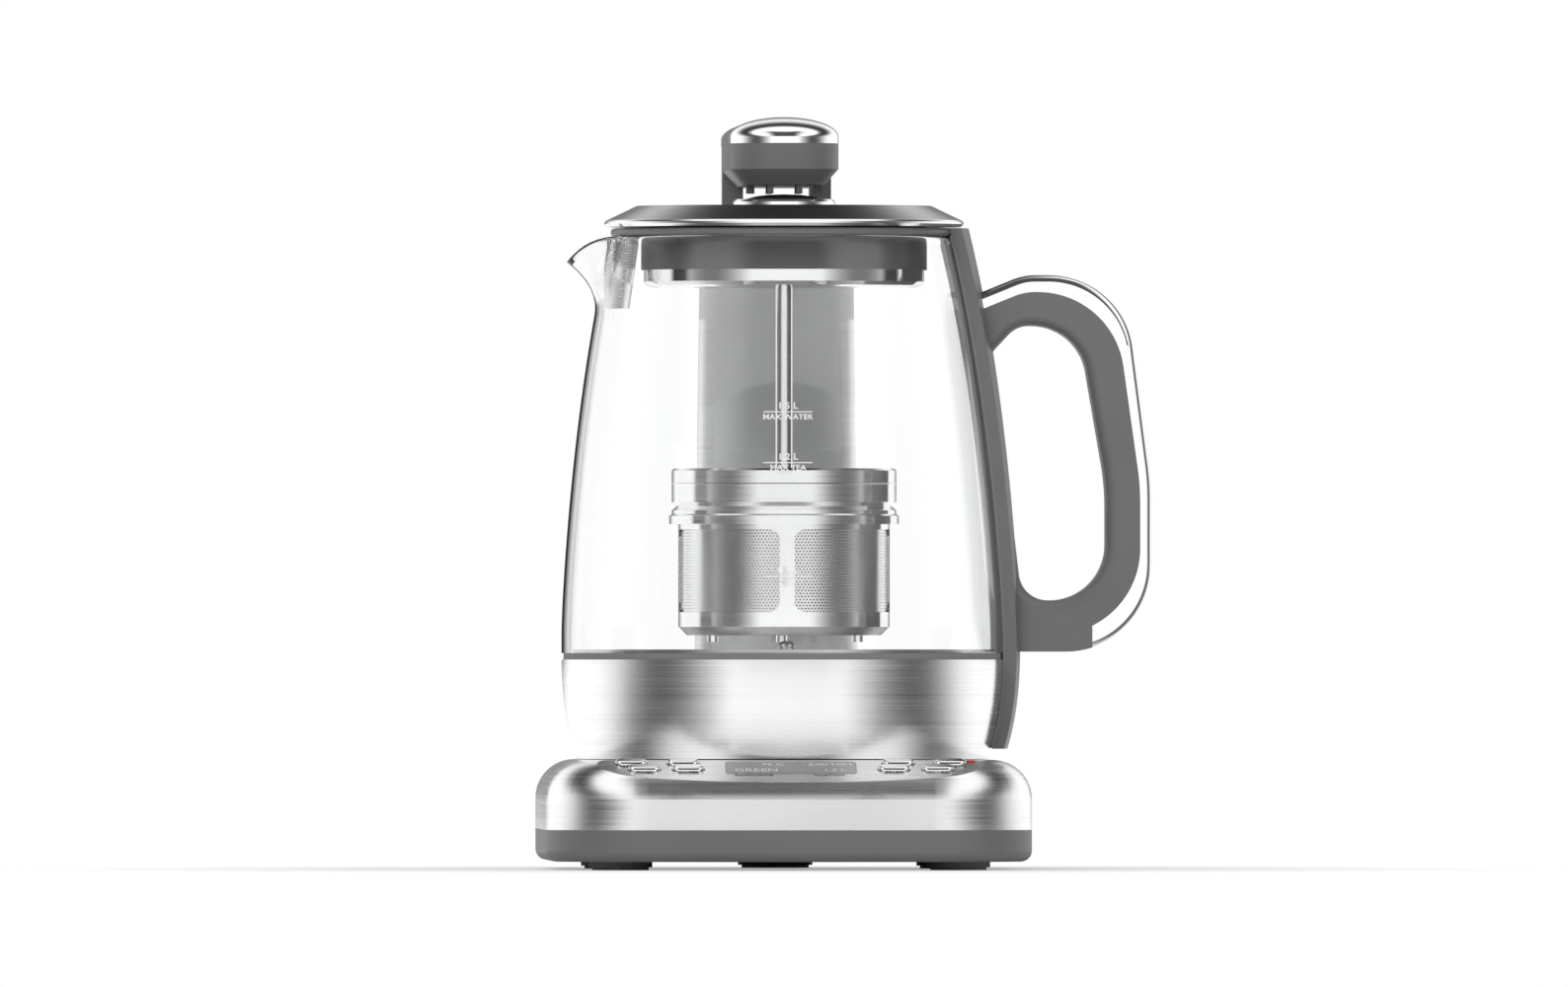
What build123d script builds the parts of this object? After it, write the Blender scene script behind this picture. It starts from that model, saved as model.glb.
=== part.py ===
from build123d import *
import math
import os

# Automatic tea maker: a glass jug on a powered base, with a tower whose arm lifts the tea basket by a rod
# through the lid. The origin is on the jug's axis, in the plane that the feet stand on. +Z is up, +X runs to
# the handle and -Y to the user.

os.makedirs("parts", exist_ok=True)

# ---------- driving sizes, in millimetres ----------
# fits
part_gap = 0.3            # between pieces of different bodies
seat_gap = 0.15           # round a piece that sits in a pocket
running_gap = 0.05        # radial, shaft in bush

# base
base_width = 174.4
base_front = 102.0        # jug axis to the front
base_back = 130.0         # jug axis to the back
base_corner = 38.0        # at the back
front_corner = 42.0
front_bow = 350.0
shell_height = 25.0
shell_edge = 14.0
shell_wall = 1.6
pan_height = 11.4
pan_wall = 2.4
pan_edge = 4.0
foot_height = 3.0
foot_step = 1.0
foot_lip = 1.3
corner_foot_radius = 11.4
rear_foot_radius = 13.5
foot_peg_radius = 4.0
post_radius = 4.5
screw_radius = 1.5
screw_head_radius = 3.0
screw_head_height = 2.0
foot_side_inset = 26.7    # feet and screw posts, in from the base's sides, front and back
foot_front_inset = 36.0
foot_back_inset = 84.0
rear_foot_inset = 22.0
post_side_inset = 21.6
post_front_inset = 44.0
post_back_inset = 38.0
cord_gland_reach = 45.0
cord_gland_radius = 4.2
cord_gland_drop = 5.8     # below the pan's upper edge
cord_gland_flange = 1.2
cord_radius = 2.8

# control panel, a slope cut into the front of the shell
panel_slope = 18.2
panel_start = 76.6        # jug axis to the slope's upper edge
window_length = 46.5
window_depth = 13.4
window_row = 8.6         # below the slope's upper edge, along the slope
button_length = 11.5
button_depth = 5.4
button_rise = 1.5
button_travel = 0.8
button_skirt = 5.0        # how far the button goes in below the panel
button_flange = 1.2
button_lip = 0.5          # the flange beyond the button, all round
window_lip = 2.0          # at the window's ends
window_edge = 1.0         # along its long sides
button_stem_radius = 2.0
upper_row, lower_row = 3.9, 10.6
upper_reach, lower_reach = (38.5, 57.0), (36.8, 52.5)
switch_height = 3.6
board_thickness = 1.6
board_rim = 4.5           # board beyond the outer rows of buttons and the lamp
board_gap = 1.0           # board to the shell's inside
lamp_radius = 1.4
lamp_reach, lamp_row = 64.6, 2.0

# jug seat and connector
seat_radius = 34.0
seat_rise = 0.4
connector_radius = 15.0
connector_height = 9.0
connector_pin_radius = 3.0
connector_sink = 8.0      # the base connector's flange, below the deck
connector_flange_height = 3.0
connector_flange_reach = 4.0
connector_rise = 3.0      # from the deck to the foot of the contact slots
contact_inner_radius = 6.5
contact_outer_radius = 10.5
contact_slot = 2.0
contact_thickness = 1.0
socket_wall = 6.0
socket_roof = 6.0
bottom_height = 5.0
bottom_post_reach = 60.0
heater_reach = 48.0
heater_radius = 4.0
plate_sink = 2.6          # how far the heating plate goes down inside the seal ring
seal_width = 7.3

# jug
jug_radius = 80.0
jug_foot = 39.8
foot_draw = 5.5           # how far the steel base draws in towards its foot
base_ring_height = 35.6
seal_height = 2.3
widest_lift = 7.7         # from the glass's foot to its widest place
glass_height = 149.8
mouth_radius = 62.3
glass_wall = 2.5
steel_wall = 1.0
collar_height = 2.9
collar_wall = 3.4
probe_radius = 3.0
probe_reach = 30.0
probe_rise = 3.0
spout_reach = 77.7
spout_tip_drop = 8.9      # the tip and the spout's root, below the glass's rim
spout_start_drop = 25.5
spout_nose = 6.0
filter_drop = 3.0         # the filter's top below the glass's rim
filter_height = 23.0
filter_inner_high, filter_inner_low = 52.2, 55.5
filter_outer = 66.0
filter_width_high, filter_width_low = 22.0, 20.0
filter_wall = 0.8

# handle
strap_gap = 0.6
strap_thickness = 4.2
strap_half_low, strap_half_high = 17.0, 20.5
strap_foot = 43.3
handle_reach = 131.9
handle_top = 213.6
handle_foot = 78.2
handle_lean = 9.8         # the loop's upper corner stands this far inside its lower one
handle_round = 31.0
handle_shoulder = 6.0     # how far out of the jug's widest the loop's top begins
shoulder_rise = 10.6      # the top rises by this from inside the jug to the shoulder
shoulder_round = 20.0
gap_round_share = 0.66    # of the finger gap's width, for its outer and its inner corners
gap_root_share = 0.34
gap_shoulder = 3.5        # how far out of the jug's widest the gap's level top begins
gap_rise = 9.5            # the gap's top rises by this from the strap to there
gap_notch = 3.0
gap_side_share = 0.7      # of the gap's side below its widest place, the most that a corner takes
grip_thickness = 12.2
grip_root = 18.5
trim_side = 4.2
trim_crown = 6.1
loop_drop = 8.0           # the loop is widest this far below its middle
loop_bow = 90.0
trim_end = 110.5
grip_width = 25.0
trim_width = 24.6
trim_edge = 2.4
grip_edge = 4.5
grip_web = 1.0            # plastic left between the finger gap and the strap

# lid
lid_radius = 64.6
lid_rim = 2.3
lid_crown_radius = 53.0
lid_height = 7.6
lid_wall = 1.2
plug_radius = 51.4
plug_depth = 15.6
plate_depth = 6.2
plate_wall = 1.2
plate_rim = 4.0           # width of the rounded rim round the underplate
plate_dish = 12.0
knob_ring_radius = 18.4
knob_ring_height = 2.4
knob_radius = 14.1
bush_radius = 6.0

# basket
rod_radius = 3.05
basket_radius = 38.0
basket_wall = 0.8
basket_foot = 84.1
collar_top = 138.4
collar_foot = 124.0
basket_collar_radius = 40.4
flange_radius = 41.3
cover_top = 144.0
window_top, window_foot = 122.1, 92.4
window_bar = 5.4
window_round = 3.4
window_count = 4
nub_height = 2.4
nub_radius = 2.0
nub_reach = 30.0

# tower
tower_front = 82.6
tower_foot = 30.5
tower_top = 232.0
tower_seam = 198.4
tower_width_low, tower_width_high = 60.8, 57.5
front_width_low, front_width_high = 48.6, 45.0
tower_depth_low, tower_depth_high = 43.0, 40.0
tower_corner = 8.0
tower_wall = 2.4

# arm and its drive
arm_travel = 62.0
arm_half = 19.6
arm_corner = 9.0
column_front = 87.0
column_depth = 24.0
column_foot = 118.0
arm_lift = 7.5            # the head's underside above the lid, with the arm down
under_height = 5.7        # of the slope under the head's band
band_height = 9.3
dome_height = 9.5
arm_wall = 2.4
under_draw = 5.2
slot_width = 24.4
slot_height = 11.5
cap_shoulder = 2.4
cap_margin = 3.0          # the back corners' round starts this far outside the cap
cap_wall = 1.4
cap_back = 19.6           # jug axis to the cap's end, behind which the arm itself is domed
crown_radius = 12.3
crown_leg = 3.2
crown_lip = 2.6
crown_drop = 3.1
crown_side_depth = 5.6    # of the two legs at the sides
crown_post_width = 2.2    # of the four narrow legs at the front and back
crown_post_depth = 2.4
crown_post_reach = 5.2
magnet_radius = 8.0
magnet_thickness = 4.0
screw_shaft_radius = 4.0
screw_tail = 11.0         # screw below the bracket, in the motor
screw_flange_radius = 6.0
bearing_radius = 5.5
bearing_height = 5.0
bracket_thickness = 4.0
shaft_bore_depth = 12.0
screw_foot = 92.0
screw_runout = 26.0       # screw above the nut when the arm is fully up
carriage_height = 6.0
nut_radius = 8.0
nut_height = 14.0
motor_radius = 13.5
motor_height = 44.0
guide_rod_radius = 2.5
guide_reach = 13.0
bush_wall = 1.5

# ---------- places worked out from the sizes ----------
upright = (Align.CENTER, Align.CENTER, Align.MIN)
pan_top = foot_height + pan_height
deck = pan_top + shell_height
seam = jug_foot + base_ring_height
glass_foot = seam + seal_height
widest = glass_foot + widest_lift
mouth = glass_foot + glass_height
collar_top_face = mouth + collar_height
lid_foot = collar_top_face + 0.5
lid_top = lid_foot + lid_height
spout_tip_height = mouth - spout_tip_drop
spout_start_height = mouth - spout_start_drop
filter_foot = mouth - filter_drop - filter_height
arm_under = lid_top + arm_lift
arm_band = arm_under + under_height
arm_deck = arm_band + band_height
arm_top = arm_deck + dome_height
slot_foot = arm_under - slot_height
crown_foot = arm_under - crown_drop
floor_top = glass_foot + 1.3
column_middle = column_front + column_depth / 2
panel = Plane(
    origin=(0, -panel_start, deck),
    x_dir=(1, 0, 0),
    z_dir=(0, -math.sin(math.radians(panel_slope)), math.cos(math.radians(panel_slope))),
)
base_middle = (base_back - base_front) / 2
screw_axis_y = column_middle
screw_top = column_foot - carriage_height + nut_height + arm_travel + screw_runout
guide_y = column_front + column_depth + guide_rod_radius + bush_wall + 0.6


def finish(piece, name):
    piece.part.label = name
    export_step(piece.part, f"parts/{name}.step")


def jug_outline(z):
    """Outer radius of the jug at a height: a bellied steel foot, then glass that draws in to the mouth."""
    if z < seam:
        drop = (seam - z) / base_ring_height
        return jug_radius - foot_draw * drop**2
    rise = max(0.0, (z - widest) / (mouth - widest))
    return jug_radius - (jug_radius - mouth_radius) * rise ** (1.45 + 0.45 * rise)


def outline_points(low, high, offset, count=9):
    heights = [low + (high - low) * i / (count - 1) for i in range(count)]
    return [(jug_outline(z) + offset, z) for z in heights]


def jug_band(low, high, inner, outer):
    """A ring that follows the jug's outline between two heights, from one offset to another."""
    with BuildPart() as band:
        with BuildSketch(Plane.XZ):
            with BuildLine():
                inside = Spline(*outline_points(low, high, inner))
                outside = Spline(*outline_points(low, high, outer))
                Line(inside @ 0, outside @ 0)
                Line(inside @ 1, outside @ 1)
            make_face()
        revolve(axis=Axis.Z)
    return band.part


def jug_core(low, high, offset):
    """The solid inside the jug's outline, with an offset."""
    with BuildPart() as core:
        with BuildSketch(Plane.XZ):
            with BuildLine():
                outside = Spline(*outline_points(low, high, offset))
                Polyline(outside @ 0, (0, low), (0, high), outside @ 1)
            make_face()
        revolve(axis=Axis.Z)
    return core.part


def turned(points):
    """A solid of revolution about Z through (radius, height) points."""
    with BuildPart() as solid:
        with BuildSketch(Plane.XZ):
            with BuildLine():
                Polyline(*points, close=True)
            make_face()
        revolve(axis=Axis.Z)
    return solid.part


def ring(inner, outer, low, high):
    if inner <= 0:
        return turned([(0, low), (outer, low), (outer, high), (0, high)])
    return turned([(inner, low), (outer, low), (outer, high), (inner, high)])


# ---------- base ----------
def base_plan(inset):
    """Plan of the base moved inwards: a bowed front with wide corners, and a flat back."""
    with BuildSketch() as plan:
        with Locations((0, base_middle)):
            Rectangle(base_width - 2 * inset, base_front + base_back - 2 * inset)
        with Locations((0, front_bow - base_front)):
            Circle(front_bow - inset, mode=Mode.INTERSECT)
        fillet(plan.vertices().group_by(Axis.Y)[0], front_corner - inset)
        fillet(plan.vertices().group_by(Axis.Y)[-1], base_corner - inset)
    return plan.sketch


def shell_form(inset):
    """The shell's outside moved inwards: rounded upper edge, sloped panel at the front."""
    with BuildPart() as form:
        with BuildSketch(Plane.XY.offset(pan_top)):
            add(base_plan(inset))
        extrude(amount=shell_height - inset)
        fillet(form.faces().sort_by(Axis.Z)[-1].edges(), shell_edge - inset)
        split(bisect_by=panel.offset(-inset), keep=Keep.BOTTOM)
    return form.part


def tower_form(inset, low=tower_foot, high=tower_top):
    """The tower's outside moved inwards, drawn in slightly towards its top."""
    share = [(z - tower_foot) / (tower_top - tower_foot) for z in (low, high)]
    with BuildPart() as form:
        for z, s in zip((low, high), share):
            width = tower_width_low + (tower_width_high - tower_width_low) * s - 2 * inset
            depth = tower_depth_low + (tower_depth_high - tower_depth_low) * s
            with BuildSketch(Plane.XY.offset(z)):
                with Locations((0, tower_front + depth / 2)):
                    RectangleRounded(width, depth - 2 * inset, tower_corner - inset)
        loft()
    return form.part


corner_feet = [(x * (base_width / 2 - foot_side_inset), y) for x in (-1, 1)
               for y in (foot_front_inset - base_front, base_back - foot_back_inset)]
rear_foot = (0.0, base_back - rear_foot_inset)
post_places = [(x * (base_width / 2 - post_side_inset), y) for x in (-1, 1)
               for y in (post_front_inset - base_front, base_back - post_back_inset)]
button_places = [(side * reach, -row) for row, pair in ((upper_row, upper_reach), (lower_row, lower_reach))
                 for reach in pair for side in (-1, 1)]
button_names = ["tea_type_button", "strength_button", "temperature_button", "time_button",
                "water_button", "start_button", "timer_button", "power_button"]

with BuildPart() as base_pan:
    with BuildSketch(Plane.XY.offset(foot_height)):
        add(base_plan(0))
    extrude(amount=pan_height)
    fillet(base_pan.faces().sort_by(Axis.Z)[0].edges(), pan_edge)
    with BuildSketch(Plane.XY.offset(foot_height + pan_wall)):
        add(base_plan(pan_edge))
    extrude(amount=pan_height, mode=Mode.SUBTRACT)
    with BuildSketch(Plane.XY.offset(foot_height)):
        with Locations(*post_places):
            Circle(post_radius)
    extrude(amount=pan_height - seat_gap)
    with Locations(*[(x, y, foot_height) for x, y in (*corner_feet, rear_foot)]):
        Cylinder(foot_peg_radius + seat_gap, 3 * pan_wall, mode=Mode.SUBTRACT)
    for x, y in post_places:
        with Locations((x, y, foot_height)):
            Cylinder(screw_radius + seat_gap, 2 * pan_height + 2, mode=Mode.SUBTRACT)
            Cylinder(screw_head_radius + seat_gap, 2 * (screw_head_height + 1), mode=Mode.SUBTRACT)
    with Locations(Location((cord_gland_reach, base_back, pan_top - cord_gland_drop), (90, 0, 0))):
        Cylinder(cord_gland_radius, 4 * pan_edge, mode=Mode.SUBTRACT)
finish(base_pan, "base_pan")

with BuildPart() as rubber_feet:
    for x, y, radius in [(*p, corner_foot_radius) for p in corner_feet] + [(*rear_foot, rear_foot_radius)]:
        with Locations((x, y, 0)):
            Cylinder(radius - foot_lip, foot_step, align=upright)
        with Locations((x, y, foot_step)):
            Cylinder(radius, foot_height - foot_step, align=upright)
        with Locations((x, y, foot_height)):
            Cylinder(foot_peg_radius, pan_wall, align=upright)
finish(rubber_feet, "rubber_feet")

with BuildPart() as base_screws:
    for x, y in post_places:
        with Locations((x, y, foot_height + 1)):
            Cylinder(screw_head_radius, screw_head_height, align=upright)
            Cylinder(screw_radius, pan_height + 4, align=upright)
finish(base_screws, "base_screws")

with BuildPart() as base_shell:
    add(shell_form(0))
    add(shell_form(shell_wall), mode=Mode.SUBTRACT)
    # screw bosses under the deck, and the ledge round the jug seat
    for x, y in post_places:
        with BuildSketch(Plane.XY.offset(pan_top)):
            with Locations((x, y)):
                Circle(post_radius)
        extrude(amount=shell_height - shell_wall / 2)
    add(shell_form(0), mode=Mode.INTERSECT)
    with Locations(*[(x, y, pan_top) for x, y in post_places]):
        Cylinder(screw_radius + running_gap, 12.0, mode=Mode.SUBTRACT)
    with Locations((0, 0, deck)):
        Cylinder(seat_radius + seat_gap, 4 * shell_wall, mode=Mode.SUBTRACT)
    add(tower_form(-seat_gap), mode=Mode.SUBTRACT)
    with BuildSketch(panel):
        with Locations(*button_places):
            SlotOverall(button_length + 2 * part_gap, button_depth + 2 * part_gap)
        with Locations((0, -window_row)):
            RectangleRounded(window_length + 2 * seat_gap, window_depth + 2 * seat_gap, 1.5)
        with Locations((lamp_reach, -lamp_row)):
            Circle(lamp_radius + seat_gap)
    extrude(amount=-2 * shell_wall, mode=Mode.SUBTRACT)
finish(base_shell, "base_shell")

with BuildPart() as display_window:
    with BuildSketch(panel.offset(-shell_wall)):
        with Locations((0, -window_row)):
            RectangleRounded(window_length, window_depth, 1.4)
    extrude(amount=shell_wall + 0.1)
    with BuildSketch(panel.offset(-shell_wall)):
        with Locations((0, -window_row)):
            Rectangle(window_length + 2 * window_lip, window_depth + 2 * window_edge)
    extrude(amount=-1.0)
finish(display_window, "display_window")

board_depth = button_skirt + button_travel + 0.3 + switch_height   # from the panel's face to the board
with BuildPart() as display_module:
    with BuildSketch(panel.offset(-shell_wall - 1.0)):
        with Locations((0, -window_row)):
            Rectangle(window_length + 2, window_depth + 2)
    extrude(amount=-(board_depth - shell_wall - 1.0))
finish(display_module, "display_module")

with BuildPart() as control_board:
    with BuildSketch(panel.offset(-board_depth)):
        with Locations((0, -(upper_row + lower_row) / 2)):
            Rectangle(2 * (lamp_reach + board_rim), lower_row - upper_row + 2 * board_rim)
    extrude(amount=-board_thickness)
    add(shell_form(shell_wall + board_gap), mode=Mode.INTERSECT)
finish(control_board, "control_board")

with BuildPart() as button_switches:
    with BuildSketch(panel.offset(-board_depth)):
        with Locations(*button_places):
            Rectangle(6, 6)
    extrude(amount=switch_height - 0.9)
    with BuildSketch(panel.offset(-board_depth)):
        with Locations(*button_places):
            Circle(1.6)
    extrude(amount=switch_height)
finish(button_switches, "button_switches")

for name, place in zip(button_names, button_places):
    with BuildPart() as button:
        with BuildSketch(panel.offset(-shell_wall - button_flange - 0.1)):
            with Locations(place):
                SlotOverall(button_length, button_depth)
        extrude(amount=shell_wall + button_flange + 0.1 + button_rise)
        fillet(button.faces().sort_by(Axis(panel.origin, panel.z_dir))[-1].edges(), 1.2)
        with BuildSketch(panel.offset(-shell_wall - button_flange - 0.1)):
            with Locations(place):
                SlotOverall(button_length + 2 * button_lip, button_depth + 2 * button_lip)
        extrude(amount=button_flange)
        with BuildSketch(panel.offset(-button_skirt)):
            with Locations(place):
                Circle(button_stem_radius)
        extrude(amount=button_skirt - shell_wall)
    finish(button, name)

with BuildPart() as status_lamp:
    with BuildSketch(panel.offset(-board_depth)):
        with Locations((lamp_reach, -lamp_row)):
            Circle(lamp_radius)
    extrude(amount=board_depth + 0.2)
finish(status_lamp, "status_lamp")

with BuildPart() as jug_seat:
    add(ring(0, seat_radius, deck - 1.2, deck + seat_rise))
    add(ring(seat_radius - 3, seat_radius + 3, deck - shell_wall - 2.0, deck - shell_wall))
    add(ring(seat_radius - 3, seat_radius, deck - shell_wall, deck - 1.2))
    add(ring(0, connector_radius, deck - connector_sink, deck + connector_rise), mode=Mode.SUBTRACT)
finish(jug_seat, "jug_seat")

with BuildPart() as base_connector:
    flange_top = deck - connector_sink
    add(ring(0, connector_radius - seat_gap, flange_top, deck + connector_height))
    fillet(base_connector.edges().group_by(Axis.Z)[-1], connector_radius / 10)
    add(ring(0, connector_radius + connector_flange_reach, flange_top - connector_flange_height, flange_top))
    add(ring(0, connector_pin_radius, deck, deck + connector_height + 2), mode=Mode.SUBTRACT)
    for radius in (contact_inner_radius, contact_outer_radius):
        add(ring(radius - contact_slot / 2, radius + contact_slot / 2, deck + connector_rise,
                 deck + connector_height + 1), mode=Mode.SUBTRACT)
finish(base_connector, "base_connector")

with BuildPart() as cord_gland:
    with Locations(Location((cord_gland_reach, base_back + 1.0, pan_top - cord_gland_drop), (90, 0, 0))):
        Cylinder(cord_gland_radius - seat_gap, 2 * pan_edge + 1.0, align=upright)
        Cylinder(cord_gland_radius + cord_gland_flange, 1.0, align=upright)
        Cylinder(cord_radius, 8 * pan_edge, mode=Mode.SUBTRACT)
finish(cord_gland, "cord_gland")

# ---------- tower ----------
with BuildPart() as front_zone:
    with BuildSketch(Plane.XZ.offset(-tower_front - tower_wall - 0.01)):
        Polygon(
            (-front_width_low / 2, tower_foot), (front_width_low / 2, tower_foot),
            (front_width_high / 2, tower_top), (-front_width_high / 2, tower_top), align=None,
        )
    extrude(amount=tower_wall + 3)

with BuildPart() as tower_tube:
    add(tower_form(0, tower_foot, tower_top))
    add(tower_form(tower_wall, tower_foot - 1, tower_top + 1), mode=Mode.SUBTRACT)

with BuildPart() as tower_front_cover:
    add(tower_tube.part)
    add(front_zone.part, mode=Mode.INTERSECT)
    split(bisect_by=Plane.XY.offset(tower_seam), keep=Keep.BOTTOM)
finish(tower_front_cover, "tower_front_cover")

with BuildPart() as tower_shell:
    add(tower_tube.part)
    add(front_zone.part, mode=Mode.SUBTRACT)
    split(bisect_by=Plane.XY.offset(tower_seam), keep=Keep.BOTTOM)
finish(tower_shell, "tower_shell")

with BuildPart() as tower_top_cover:
    add(tower_form(0, tower_seam, tower_top))
    add(tower_form(tower_wall, tower_seam - 1, tower_top - tower_wall), mode=Mode.SUBTRACT)
    with Locations((0, column_middle, tower_top)):
        Box(2 * (arm_half + part_gap), column_depth + 2 * part_gap, 4 * tower_wall, mode=Mode.SUBTRACT)
finish(tower_top_cover, "tower_top_cover")

bracket_top = screw_foot - 2.0
bracket_foot = bracket_top - bracket_thickness
with BuildPart() as motor_bracket:
    add(tower_form(tower_wall + seat_gap, bracket_foot, bracket_top))
    with Locations((0, screw_axis_y, bracket_top)):
        Cylinder(bearing_radius + seat_gap, 4 * bracket_thickness, mode=Mode.SUBTRACT)
    with Locations(*[(x * guide_reach, guide_y, bracket_top) for x in (-1, 1)]):
        Cylinder(guide_rod_radius + running_gap, 4 * bracket_thickness, mode=Mode.SUBTRACT)
finish(motor_bracket, "motor_bracket")

with BuildPart() as lift_motor:
    with Locations((0, screw_axis_y, bracket_foot - motor_height)):
        Cylinder(motor_radius, motor_height, align=upright)
    fillet(lift_motor.edges(), 1.5)
    with Locations((0, screw_axis_y, bracket_foot)):
        Cylinder(screw_shaft_radius + running_gap, 2 * shaft_bore_depth, mode=Mode.SUBTRACT)
finish(lift_motor, "lift_motor")

with BuildPart() as screw_bearing:
    with Locations((0, screw_axis_y, bracket_foot + 0.1)):
        Cylinder(bearing_radius, bearing_height, align=upright)
        Cylinder(screw_shaft_radius + running_gap, 4 * bearing_height, mode=Mode.SUBTRACT)
finish(screw_bearing, "screw_bearing")

with BuildPart() as guide_rods:
    with Locations(*[(x * guide_reach, guide_y, bracket_foot) for x in (-1, 1)]):
        Cylinder(guide_rod_radius, tower_top - tower_wall - bracket_foot, align=upright)
finish(guide_rods, "guide_rods")

# ---------- lead screw ----------
with BuildPart() as lead_screw:
    with Locations((0, screw_axis_y, bracket_top - screw_tail)):
        Cylinder(screw_shaft_radius, screw_top - bracket_top + screw_tail, align=upright)
    chamfer(lead_screw.edges(), screw_shaft_radius * 0.15)
    with Locations((0, screw_axis_y, bracket_foot + bearing_height + part_gap + 0.1)):
        Cylinder(screw_flange_radius, 1.2, align=upright)
finish(lead_screw, "lead_screw")


# ---------- arm ----------
def arm_plan(inset):
    """Plan of the arm: round over the jug's axis, square with rounded corners behind."""
    with BuildSketch() as plan:
        Circle(arm_half - inset)
        back = column_front + column_depth - inset
        Rectangle(2 * (arm_half - inset), back, align=(Align.CENTER, Align.MIN))
        fillet(plan.vertices().group_by(Axis.Y)[-1], arm_corner - inset)
    return plan.sketch


def column_plan(inset):
    """The part of the arm's plan that goes down the tower."""
    with BuildSketch() as plan:
        add(arm_plan(inset))
        with Locations((0, column_front + inset)):
            Rectangle(4 * arm_half, column_front + 4 * arm_half, align=(Align.CENTER, Align.MAX),
                      mode=Mode.SUBTRACT)
    return plan.sketch


def cap_form(inset):
    """The head's domed top moved inwards: round over the jug, drawn back to the column."""
    half, rise = arm_half - inset, arm_top - arm_deck - inset
    back = column_front + column_depth - inset
    spring = arm_deck + cap_shoulder
    forms = []
    for arc in (180, 90):
        with BuildPart() as form:
            with BuildSketch(Plane.XZ):
                with BuildLine():
                    Line((half, arm_deck), (half, spring))
                    crown = EllipticalCenterArc((0, spring), half, rise - cap_shoulder, arc_size=arc)
                    Polyline(crown @ 1, ((crown @ 1).X, arm_deck), (half, arm_deck))
                make_face()
            if arc == 180:
                extrude(amount=-back)
            else:
                revolve(axis=Axis.Z)
        forms.append(form.part)
    with BuildPart() as limits:
        with BuildSketch(Plane.XY.offset(arm_deck - 1)):
            with Locations((0, back)):
                Rectangle(2 * (half + cap_margin), back + 2 * half, align=(Align.CENTER, Align.MAX))
            fillet(vertices().group_by(Axis.Y)[-1], arm_corner + cap_margin - inset)
        extrude(amount=rise + 2)
    return (forms[0] + forms[1]) & limits.part


with BuildPart() as back_zone:
    with Locations((0, cap_back, arm_deck - 1)):
        Box(4 * arm_half, 2 * column_front, 4 * dome_height, align=(Align.CENTER, Align.MIN, Align.MIN))

crown_outer = crown_radius + crown_leg / 2
crown_post_edge = crown_post_reach + crown_post_width / 2
crown_post_place = math.sqrt(crown_outer**2 - crown_post_edge**2) - crown_post_depth / 2
with BuildPart() as arm_shell:
    with BuildSketch(Plane.XY.offset(arm_band)):
        add(arm_plan(0))
    extrude(amount=arm_deck - arm_band)
    with BuildSketch(Plane.XY.offset(arm_under)):
        add(arm_plan(under_draw))
    with BuildSketch(Plane.XY.offset(arm_band)):
        add(arm_plan(0))
    loft()
    with BuildSketch(Plane.XY.offset(column_foot)):
        add(column_plan(0))
    extrude(amount=arm_band - column_foot)
    with BuildSketch(Plane.XY.offset(column_foot)):
        add(column_plan(arm_wall))
    extrude(amount=slot_foot - arm_wall - column_foot, mode=Mode.SUBTRACT)
    with Locations((0, column_middle, slot_foot)):
        Box(slot_width, 2 * column_depth, arm_under - slot_foot,
            align=upright, mode=Mode.SUBTRACT)
    # hollow head, open on top under the cap
    with BuildSketch(Plane.XY.offset(arm_under + arm_wall + under_draw)):
        add(arm_plan(arm_wall))
    extrude(amount=arm_deck, mode=Mode.SUBTRACT)
    add(ring(0, crown_outer + seat_gap, arm_under - 1, arm_deck + 1), mode=Mode.SUBTRACT)
    add(ring(0, crown_outer + crown_lip + seat_gap, arm_under + arm_wall, arm_deck + 1), mode=Mode.SUBTRACT)
    add((cap_form(0) - cap_form(arm_wall)) & back_zone.part)
finish(arm_shell, "arm_shell")

with BuildPart() as arm_cap:
    add(cap_form(0) - cap_form(cap_wall) - back_zone.part)
finish(arm_cap, "arm_cap")

with BuildPart() as coupling_crown:
    add(ring(0, crown_outer, arm_under, arm_under + arm_wall))
    add(ring(0, crown_outer + crown_lip, arm_under + arm_wall, arm_under + 2 * arm_wall))
    add(ring(0, magnet_radius + seat_gap, arm_under + 1, arm_deck), mode=Mode.SUBTRACT)
    with Locations(*[(x * (crown_radius - seat_gap), 0, crown_foot) for x in (-1, 1)]):
        Box(crown_leg - 2 * seat_gap, crown_side_depth, arm_under - crown_foot, align=upright)
    with Locations(*[(x * crown_post_reach, y * crown_post_place, crown_foot)
                     for x in (-1, 1) for y in (-1, 1)]):
        Box(crown_post_width, crown_post_depth, arm_under - crown_foot, align=upright)
finish(coupling_crown, "coupling_crown")

with BuildPart() as arm_magnet:
    add(ring(0, magnet_radius, arm_under + 1, arm_under + 1 + magnet_thickness))
finish(arm_magnet, "arm_magnet")

with BuildPart() as drive_carriage:
    with BuildSketch(Plane.XY.offset(column_foot - carriage_height)):
        with Locations((0, column_front + 1)):
            Rectangle(2 * (arm_half - 1), guide_y + guide_rod_radius + bush_wall - column_front,
                      align=(Align.CENTER, Align.MIN))
    extrude(amount=carriage_height)
    with Locations((0, screw_axis_y, column_foot)):
        Cylinder(nut_radius + seat_gap, 4 * carriage_height, mode=Mode.SUBTRACT)
    with Locations(*[(x * guide_reach, guide_y, column_foot) for x in (-1, 1)]):
        Cylinder(guide_rod_radius + bush_wall + seat_gap, 4 * carriage_height, mode=Mode.SUBTRACT)
finish(drive_carriage, "drive_carriage")

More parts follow.
